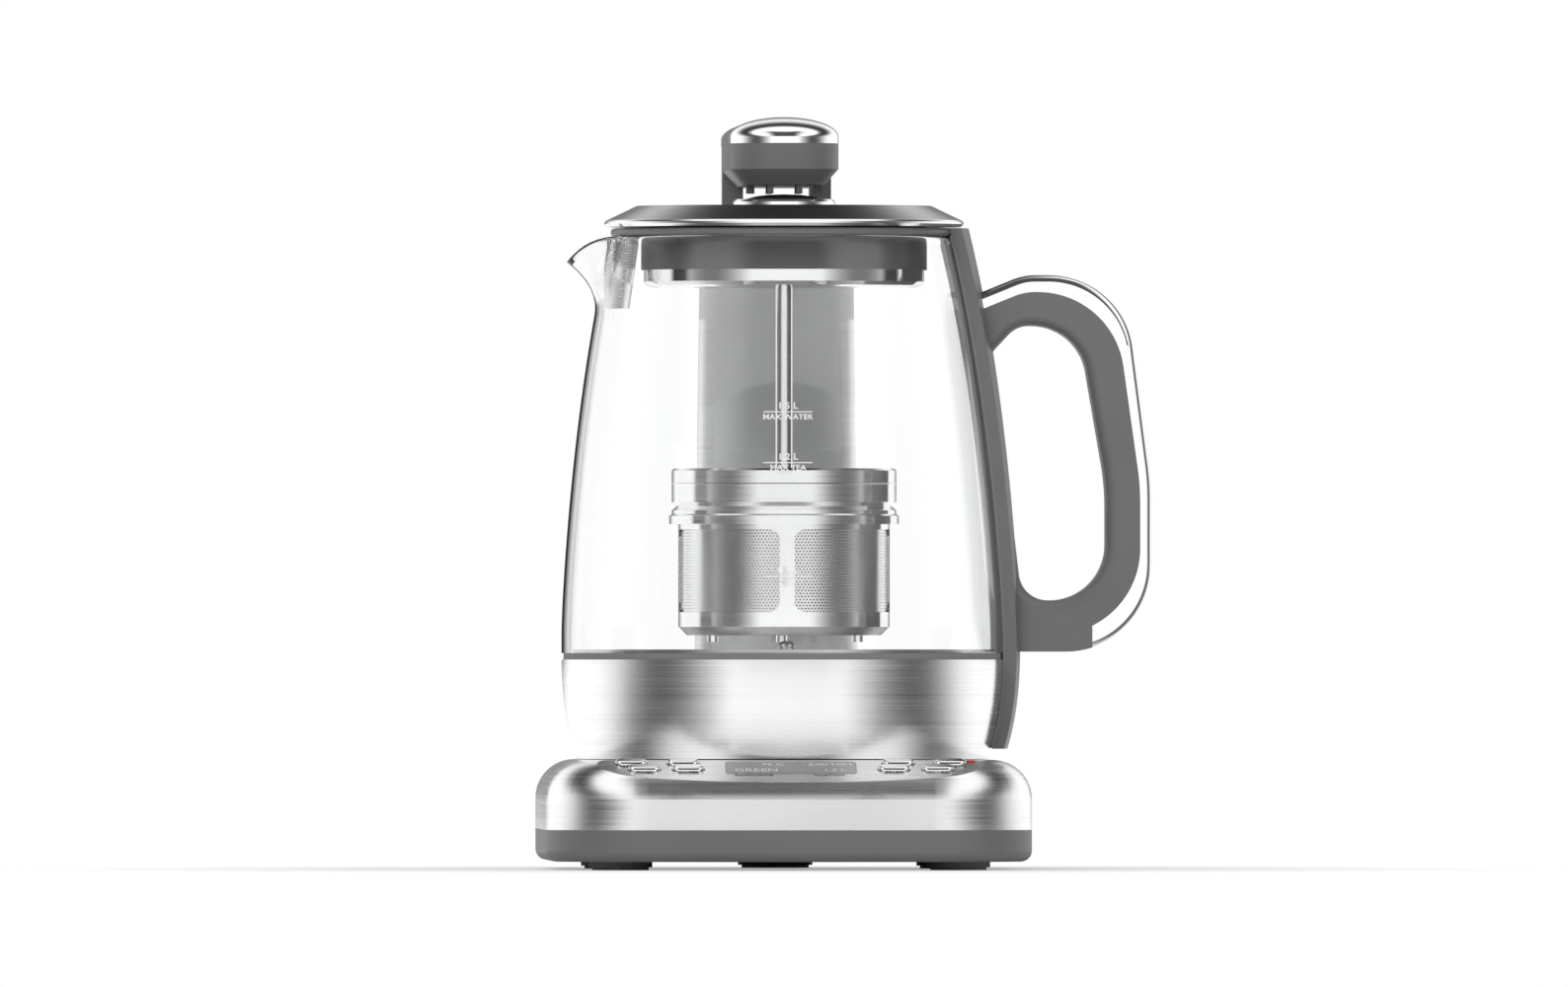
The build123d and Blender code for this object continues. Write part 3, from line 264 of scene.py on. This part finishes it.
def turnedMetal(name, colour=(0.62, 0.62, 0.63), gloss=0.3, ringed=900.0):
    material, tree = newMaterial(name)
    rings = tree.noise(tree.place((30.0, 30.0, ringed)), 1.0, 2.0)
    cloud = tree.noise(tree.place(), 60.0, 3.0)
    shade = tree.blend(cloud, tuple(c * 0.9 for c in colour), tuple(min(1.0, c * 1.06) for c in colour))
    tree.output(tree.surface({
        "Base Color": shade, "Metallic": 1.0,
        "Roughness": tree.range(rings, 0.3, 0.7, gloss - 0.06, gloss + 0.08),
        "Normal": tree.bump(rings, 0.15, 0.008 * mm)}))
    return material


def paint(name, colour, gloss=0.5):
    material, tree = newMaterial(name)
    cloud = tree.noise(tree.place(), 900.0, 3.0)
    shade = tree.blend(cloud, tuple(c * 0.94 for c in colour), colour)
    tree.output(tree.surface({
        "Base Color": shade, "Roughness": tree.range(cloud, 0.3, 0.7, gloss - 0.05, gloss + 0.05)}))
    return material


# liquid crystal under a tinted window: faint segments' shadow and a soft glow
def displayGlass(name, colour=(0.23, 0.24, 0.235)):
    material, tree = newMaterial(name)
    spot = tree.place()
    cloud = tree.noise(spot, 55.0, 2.0)
    cell = tree.maths("PINGPONG", tree.axis(spot, "X") * 4000.0, 1.0)
    shade = tree.blend(cloud * 0.8 + cell * 0.2, tuple(c * 0.86 for c in colour), colour)
    tree.output(tree.surface({
        "Base Color": shade, "Roughness": tree.range(cloud, 0.3, 0.7, 0.10, 0.16), "Coat Weight": 0.6,
        "Coat Roughness": 0.04}))
    return material


# sheet with round holes in staggered rows, on a drum about Z or on a wall that faces sideways
def perforated(name, holes):
    material, tree = newMaterial(name)
    spot = tree.place()
    x, y, z = (tree.axis(spot, name) for name in "XYZ")
    if holes["radius"]:
        around = tree.maths("ARCTAN2", y, x) * (holes["radius"] / holes["pitch"])
    else:
        around = (x + y) / holes["pitch"]
    row = z / (holes["pitch"] * holes["rowRise"])
    stagger = tree.maths("FRACT", tree.maths("FLOOR", row) * 0.5)
    across = tree.maths("FRACT", around + stagger) - 0.5
    up = (tree.maths("FRACT", row) - 0.5) * holes["rowRise"]
    reach = (across * across + up * up) ** 0.5
    solid = tree.range(reach, holes["open"] - holes["soft"], holes["open"] + holes["soft"], 0.0, 1.0)
    cloud = tree.noise(spot, 40.0, 3.0)
    shade = tree.blend(cloud, (0.86, 0.86, 0.865), (0.93, 0.93, 0.935))
    tree.output(tree.surface({
        "Base Color": shade, "Metallic": 1.0, "Roughness": tree.range(cloud, 0.3, 0.7, 0.18, 0.26),
        "Alpha": solid}))
    return material


greyPlastic = plastic("greyPlastic", (0.150, 0.150, 0.152))
towerGrey = plastic("towerGrey", (0.660, 0.660, 0.662), gloss=0.36)
plugGrey = plastic("plugGrey", (0.100, 0.100, 0.102), gloss=0.38)
blackPlastic = plastic("blackPlastic", (0.018, 0.018, 0.019), gloss=0.3)
bearingPlastic = plastic("bearingPlastic", (0.72, 0.72, 0.70), gloss=0.38)
boardGreen = plastic("boardGreen", (0.02, 0.10, 0.045), gloss=0.4)
brushedSteel = steel("brushedSteel")
basketSteel = steel("basketSteel", gloss=0.13, streak=0.04)
towerSteel = steel("towerSteel", (0.90, 0.90, 0.905), gloss=0.5, streak=0.08, stretch=0.3)
rodSteel = steel("rodSteel", (0.82, 0.82, 0.825), gloss=0.14, lines=(500.0, 500.0, 8.0), streak=0.05,
                 stretch=0.3)
polished = chrome("polished", (0.93, 0.93, 0.935))
# the handle trim carries a painted dark reflection on its upward faces near the jug
trimChrome = darkReflectionTrim("trimChrome", 82.0, 108.0)
# the lid's cone carries painted shade
lidSteel = shadedConeSteel("lidSteel", 233.2)
clearGlass = glass("clearGlass")
# grey rubber, made lighter than it is with painted light to make up for the shade under the base
paintedLightRubber = rubber("paintedLightRubber", (0.30, 0.30, 0.30))
clearRubber = rubber("clearRubber", (0.20, 0.20, 0.20))
machined = turnedMetal("machined")
coilMetal = turnedMetal("coilMetal", (0.50, 0.44, 0.38), 0.38)
whitePrint = paint("whitePrint", (0.90, 0.90, 0.90))
blackPrint = paint("blackPrint", (0.012, 0.012, 0.013))
palePrint = paint("palePrint", (0.66, 0.68, 0.67), 0.3)
lampRed = paint("lampRed", (0.55, 0.03, 0.025), 0.2)
displayGrey = displayGlass("displayGrey")
meshSheet = perforated("meshSheet", {
    "radius": 0.0372, "pitch": 0.00125, "rowRise": 0.866, "open": 0.27, "soft": 0.04})
filterSheet = perforated("filterSheet", {
    "radius": 0.0, "pitch": 0.00105, "rowRise": 0.866, "open": 0.28, "soft": 0.04})
print("materials made:", len(bpy.data.materials))

finishes = {
    greyPlastic: ["base_pan", "arm_shell", "jug_collar", "handle_strap", "handle_grip", "jug_seat"],
    towerGrey: ["tower_front_cover", "tower_top_cover"],
    plugGrey: ["lid_plug", "coupling_crown"],
    blackPlastic: ["rod_knob", "base_connector", "jug_connector", "jug_bottom", "display_module",
                   "button_switches", "drive_carriage"],
    boardGreen: ["control_board"],
    brushedSteel: ["base_shell", "jug_base_shell"],
    basketSteel: ["basket_cover", "basket_body"],
    towerSteel: ["tower_shell"],
    rodSteel: ["lift_rod", "guide_rods"],
    polished: ["arm_cap", "knob_ring", "lid_underplate"],
    trimChrome: ["handle_trim"],
    lidSteel: ["lid_cover"],
    meshSheet: ["basket_mesh"],
    filterSheet: ["spout_filter"],
    displayGrey: ["display_window"],
    lampRed: ["status_lamp"],
    paintedLightRubber: ["rubber_feet", "cord_gland"],
    clearRubber: ["base_seal", "strap_seal", "lid_seal"],
    machined: ["base_screws", "lift_motor", "motor_bracket", "screw_bearing", "lead_screw", "arm_magnet",
               "heating_plate", "temperature_probe"],
    coilMetal: ["heater_element"],
    bearingPlastic: ["drive_nut", "guide_bushes", "lid_bush"],
}
finishes[polished] += [name for name in nodes if name.endswith("_button")]
for material, names in finishes.items():
    for name in names:
        slots = nodes[name].data.materials
        slots.clear()
        slots.append(material)
print("nodes finished:", sum(len(names) for names in finishes.values()))


# mesh helpers
def makePiece(bm, name, body, material, replaced=(), sharp=32.0):
    mesh = bpy.data.meshes.new(name)
    bm.to_mesh(mesh)
    bm.free()
    mesh.shade_smooth()
    mesh.set_sharp_from_angle(angle=math.radians(sharp))
    mesh.materials.append(material)
    piece = bpy.data.objects.new(name, mesh)
    bpy.context.scene.collection.objects.link(piece)
    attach(piece, body)
    if replaced:
        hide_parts(*replaced)
    return piece


# a closed outline turned about the jug's axis
def spinProfile(points, steps):
    bm = bmesh.new()
    ends = [bm.verts.new((r * mm, 0.0, z * mm)) for r, z in points]
    chain = [bm.edges.new(pair) for pair in zip(ends, ends[1:] + ends[:1])]
    bmesh.ops.spin(bm, geom=ends + chain, cent=(0, 0, 0), axis=(0, 0, 1), angle=math.tau, steps=steps,
                   use_merge=True)
    bmesh.ops.remove_doubles(bm, verts=bm.verts, dist=1e-6)
    bmesh.ops.recalc_face_normals(bm, faces=bm.faces)
    return bm


# the jug's glass: a drawn vessel with a rounded rim and a spout pulled out of it, opposite the handle
jugGlass = {
    "foot": 77.7, "widest": 85.4, "mouth": 227.5, "radius": 80.0, "mouthRadius": 62.3, "wall": 2.5,
    "taper": 1.45, "taperGrowth": 0.45, "steps": 240, "rows": 56, "rimSteps": 8,
    "spoutRoot": 199.5, "spoutHalf": math.radians(18.5), "spoutTip": 78.5, "spoutCurl": 1.7,
    "spoutDrop": 8.9, "dropCurl": 1.35, "dropWidth": 2.4,
}


# the wall's outer radius at a height
def glassOutline(z):
    g = jugGlass
    rise = max(0.0, (z - g["widest"]) / (g["mouth"] - g["widest"]))
    return g["radius"] - (g["radius"] - g["mouthRadius"]) * rise ** (g["taper"] + g["taperGrowth"] * rise)


def makeGlass():
    g = jugGlass
    top = g["mouth"] - g["wall"] / 2
    heights = [g["foot"] + (top - g["foot"]) * i / (g["rows"] - 1) for i in range(g["rows"])]
    outer = [(glassOutline(z), z) for z in heights]
    rim = [(glassOutline(top) - g["wall"] / 2 * (1 - math.cos(a)), top + g["wall"] / 2 * math.sin(a))
           for a in [math.pi * i / g["rimSteps"] for i in range(1, g["rimSteps"])]]
    inner = [(glassOutline(z) - g["wall"], z) for z in reversed(heights)]
    bm = spinProfile(outer + rim + inner, g["steps"])
    # the spout is pulled out of the wall and its lip is laid down
    for v in bm.verts:
        z = v.co.z / mm
        side = abs(math.atan2(v.co.y, -v.co.x)) / g["spoutHalf"]
        if z < g["spoutRoot"] or side >= 1:
            continue
        share = 0.5 + 0.5 * math.cos(math.pi * side)
        t = (z - g["spoutRoot"]) / (g["mouth"] - g["spoutRoot"])
        radius = math.hypot(v.co.x, v.co.y)
        push = share * (g["spoutTip"] - g["mouthRadius"]) * t ** g["spoutCurl"]
        grown = (radius + push * mm) / radius
        v.co.x *= grown
        v.co.y *= grown
        v.co.z -= share ** g["dropWidth"] * g["spoutDrop"] * t ** g["dropCurl"] * mm
    makePiece(bm, "jugGlass", "jug", clearGlass, ("glass_body",), sharp=60)


makeGlass()
print("glass made")


# lettering: words are set flat, then laid on the glass or on the panel
printing = {"thick": 0.05, "barCuts": 12, "shortestCut": 4.0}


def setWords(words, size, at, bold, stretch):
    curve = bpy.data.curves.new("words", "FONT")
    curve.body, curve.size = words, size * mm
    curve.align_x, curve.align_y = "CENTER", "CENTER"
    curve.offset, curve.extrude = bold * mm, printing["thick"] * mm / 2
    curve.resolution_u = 2
    holder = bpy.data.objects.new("words", curve)
    bpy.context.scene.collection.objects.link(holder)
    bpy.context.view_layer.update()
    flat = bpy.data.meshes.new_from_object(holder.evaluated_get(bpy.context.evaluated_depsgraph_get()))
    bpy.data.objects.remove(holder)
    bpy.data.curves.remove(curve)
    flat.transform(Matrix.Translation((at[0] * mm, at[1] * mm, 0)) @ Matrix.Diagonal((stretch, 1, 1, 1)))
    return flat


# a printed line, cut along its length so that it can bend round the glass
def setBar(bm, low, high):
    made = bmesh.ops.create_cube(bm, size=1.0)["verts"]
    size = [(b - a) * mm for a, b in zip(low, high)]
    middle = [(a + b) / 2 * mm for a, b in zip(low, high)]
    bmesh.ops.scale(bm, verts=made, vec=(*size, printing["thick"] * mm))
    bmesh.ops.translate(bm, verts=made, vec=(*middle, 0))
    shortest = printing["shortestCut"] * mm
    lengthwise = [e for e in bm.edges if all(v in made for v in e.verts) and e.calc_length() > shortest]
    bmesh.ops.subdivide_edges(bm, edges=lengthwise, cuts=printing["barCuts"], use_grid_fill=True)


levelMarks = {
    "marks": [(164.1, "1.5 L", "MAX WATER"), (145.9, "1.2 L", "MAX TEA"), (105.2, "0.5 L", "MIN")],
    "middle": -0.8, "lineHalf": 8.9, "lineThick": 0.36, "amountSize": 3.3, "amountUp": 2.1,
    "wordSize": 2.75, "wordUp": -1.9, "bold": 0.05, "stretch": 1.12, "lift": 0.06,
}


def makeLevelMarks():
    m = levelMarks
    bm = bmesh.new()
    for z, amount, word in m["marks"]:
        setBar(bm, (m["middle"] - m["lineHalf"], z - m["lineThick"] / 2),
               (m["middle"] + m["lineHalf"], z + m["lineThick"] / 2))
        for text, size, up in ((amount, m["amountSize"], m["amountUp"]), (word, m["wordSize"], m["wordUp"])):
            flat = setWords(text, size, (m["middle"], z + up), m["bold"], m["stretch"])
            bm.from_mesh(flat)
            bpy.data.meshes.remove(flat)
    for v in bm.verts:
        across, z, out = v.co.x, v.co.y, v.co.z
        radius = (glassOutline(z / mm) + m["lift"]) * mm + out
        v.co = (radius * math.sin(across / radius), -radius * math.cos(across / radius), z)
    bmesh.ops.recalc_face_normals(bm, faces=bm.faces)
    makePiece(bm, "levelMarks", "jug", whitePrint)


makeLevelMarks()

# the panel: words beside the buttons and on the display, laid on its slope
panelPrint = {
    "slope": math.radians(18.2), "start": 76.6, "deck": 39.4, "lift": 0.03, "windowLift": 0.13,
    "bold": 0.04, "stretch": 1.15,
    "labels": [
        ("TEA TYPE", -57.0, 7.4, 1.9), ("STRENGTH", 57.0, 7.4, 1.9), ("TEMP", -38.5, 7.2, 1.9),
        ("TIME", 38.5, 7.2, 1.9), ("WATER", -36.8, 14.6, 1.9), ("START", 36.8, 14.6, 1.9),
        ("TIMER", -52.5, 14.6, 1.9), ("ON / OFF", 52.5, 14.6, 1.9),
        ("FAVOURITE", -13.5, 17.2, 2.3), ("CUSTOM", 13.5, 17.2, 2.3)],
    "display": [("GREEN", -12.5, 11.6, 4.4), ("75 C", -6.5, 5.4, 3.6), ("2:00 MIN", 14.0, 5.4, 3.6),
                ("1.2 L", 15.5, 11.6, 3.6)],
}


def layOnPanel(bm, lift):
    p = panelPrint
    s, c = math.sin(p["slope"]), math.cos(p["slope"])
    for v in bm.verts:
        x, along, out = v.co.x, v.co.y, v.co.z + lift * mm
        v.co = (x, -p["start"] * mm + along * c - out * s, p["deck"] * mm + along * s + out * c)


def makePanelPrint(name, rows, lift, material):
    bm = bmesh.new()
    for text, x, row, size in rows:
        flat = setWords(text, size, (x, -row), panelPrint["bold"], panelPrint["stretch"])
        bm.from_mesh(flat)
        bpy.data.meshes.remove(flat)
    layOnPanel(bm, lift)
    bmesh.ops.recalc_face_normals(bm, faces=bm.faces)
    makePiece(bm, name, "base", material)


makePanelPrint("panelLabels", panelPrint["labels"], panelPrint["lift"], blackPrint)
makePanelPrint("displayWords", panelPrint["display"], panelPrint["windowLift"], palePrint)
print("lettering made")

# studio: a pale floor, two soft lamps and a world whose dark gap between the front light and the backdrop
# gives the metal its streaks
studio = {
    "floorSize": 3.2, "floorTone": 0.86, "floorLift": 0.4,
    "floorFade": (0.10, 0.30), "mirrorFade": (0.12, 0.20),   # how far out the paper turns plain white
    "key": {"place": (-1.3, -2.2, 2.1), "size": 1.7, "power": 46.0},
    "fill": {"place": (2.0, -1.4, 1.0), "size": 1.6, "power": 15.0},
    "ambient": 0.43,
    "gapAxis": (0.0, -0.596, 0.803), "gapMiddle": 0.2327, "gapBack": 0.45, "gapFront": 0.30,
    "gapHeight": (0.15, 0.6), "gapGain": 1.3,   # the gap deepens with height
    "frontWhite": 1.12,                         # how bright the front light is in a reflection
}


# how bright the studio is in a direction: dark in the gap between the front light and the backdrop
def studioTone(tree, direction):
    along = tree.node("ShaderNodeVectorMath", {"operation": "DOT_PRODUCT"}, {
        0: direction, 1: studio["gapAxis"]}, out="Value")
    tone = tree.node("ShaderNodeValToRGB", {"stops": [
        (0.0, 1.0), (0.18, 0.85), (0.33, 0.48), (0.45, 0.22), (0.56, 0.11), (0.64, 0.085), (0.71, 0.09),
        (0.77, 0.13), (0.83, 0.22), (0.89, 0.40), (0.935, 0.58), (0.97, 0.80), (1.0, 1.0)]},
        {0: tree.range(along - studio["gapMiddle"], -studio["gapBack"], studio["gapFront"], 0.0, 1.0)})
    gain = tree.range(tree.axis(direction, "Z"), *studio["gapHeight"], 1.0, studio["gapGain"], smooth=True)
    return tone ** gain * studio["frontWhite"]


def softLight(name, spec):
    data = bpy.data.lights.new(name, "AREA")
    data.shape, data.size, data.energy = "DISK", spec["size"], spec["power"]
    lamp = bpy.data.objects.new(name, data)
    lamp.location = spec["place"]
    lamp.rotation_euler = (Vector(spec["place"]) - Vector((0, 0, 0.12))).to_track_quat("Z", "Y").to_euler()
    lamp.visible_glossy = False
    lamp.visible_transmission = False
    bpy.context.scene.collection.objects.link(lamp)


softLight("keyLight", studio["key"])
softLight("fillLight", studio["fill"])

bm = bmesh.new()
bmesh.ops.create_circle(bm, cap_ends=True, segments=96, radius=studio["floorSize"])
floorMesh = bpy.data.meshes.new("floor")
bm.to_mesh(floorMesh)
bm.free()
floor = bpy.data.objects.new("floor", floorMesh)
bpy.context.scene.collection.objects.link(floor)

material, tree = newMaterial("floorPaper")
spot = tree.place()
away = tree.node("ShaderNodeVectorMath", {"operation": "LENGTH"}, {0: spot}, out="Value")
fade = tree.range(away, *studio["floorFade"], studio["floorLift"], 1.0, smooth=True)
grain = tree.noise(spot, 40.0, 4.0)
tone = tree.blend(grain, (studio["floorTone"] * 0.985,) * 3, (studio["floorTone"],) * 3)
paper = tree.surface({"Base Color": tone, "Roughness": 0.8})
flatWay = tree.node("ShaderNodeVectorMath", {"operation": "NORMALIZE"}, {0: spot})
glossy = tree.lightPath("Is Glossy Ray")
sheen = tree.blend(glossy, (1.0, 1.0, 1.0), studioTone(tree, flatWay))
white = tree.node("ShaderNodeEmission", inputs={"Color": sheen, "Strength": 1.0})
seen = tree.maths("MAXIMUM", tree.lightPath("Is Camera Ray"), tree.lightPath("Is Transmission Ray"))
factor = tree.maths("MAXIMUM", seen * fade, glossy * tree.range(away, *studio["mirrorFade"], 0.0, 1.0))
tree.output(tree.node("ShaderNodeMixShader", inputs={0: factor, 1: paper, 2: white}))
floorMesh.materials.append(material)

# dark cards round the object: each fades in and out between the directions given, and has a share and a shade
cards = {
    "front": {"ahead": (-0.30, -0.12), "side": (0.30, 0.62), "low": (0.05, 0.12), "high": (0.86, 0.97),
              "share": 0.95, "shade": (0.03, 0.03, 0.03)},
    "behind": {"back": (0.86, 0.985), "share": 0.8, "shade": (0.05, 0.05, 0.05)},
    "sides": {"side": (0.82, 0.93), "near": (-0.12, 0.02), "far": (0.22, 0.34), "shade": (0.02, 0.02, 0.02)},
}
world = bpy.data.worlds.new("studioWorld")
bpy.context.scene.world = world
tree = Tree(world)
direction = tree.node("ShaderNodeTexCoord", out="Generated")
alongY, alongZ = tree.axis(direction, "Y"), tree.axis(direction, "Z")
sideways = tree.maths("ABSOLUTE", tree.axis(direction, "X"))


def rising(value, span):
    return tree.range(value, *span, 0.0, 1.0, smooth=True)


def falling(value, span):
    return tree.range(value, *span, 1.0, 0.0, smooth=True)


# a card over the front light
card = cards["front"]
front = falling(alongY, card["ahead"]) * falling(sideways, card["side"])
front = rising(alongZ, card["low"]) * falling(alongZ, card["high"]) * front
shown = tree.blend(front * card["share"], studioTone(tree, direction), card["shade"])
# a card straight behind, which draws the edges of steel and chrome
card = cards["behind"]
mirrored = tree.lightPath("Glossy Depth") > 0.5
shown = tree.blend(rising(alongY, card["back"]) * mirrored * card["share"], shown, card["shade"])
# narrow cards at the sides, which draw the glass's edges
card = cards["sides"]
edge = rising(sideways, card["side"]) * rising(alongY, card["near"]) * falling(alongY, card["far"])
transmitted = tree.lightPath("Is Transmission Ray")
shown = tree.blend(edge * transmitted, shown, card["shade"])
reflected = tree.maths("MAXIMUM", tree.lightPath("Is Glossy Ray"), transmitted)
colour = tree.blend(reflected, (studio["ambient"],) * 3, shown)
colour = tree.blend(tree.lightPath("Is Camera Ray"), colour, (1.0, 1.0, 1.0))
tree.output(tree.node("ShaderNodeBackground", inputs={"Color": colour, "Strength": 1.0}),
            "ShaderNodeOutputWorld")
print("studio made")
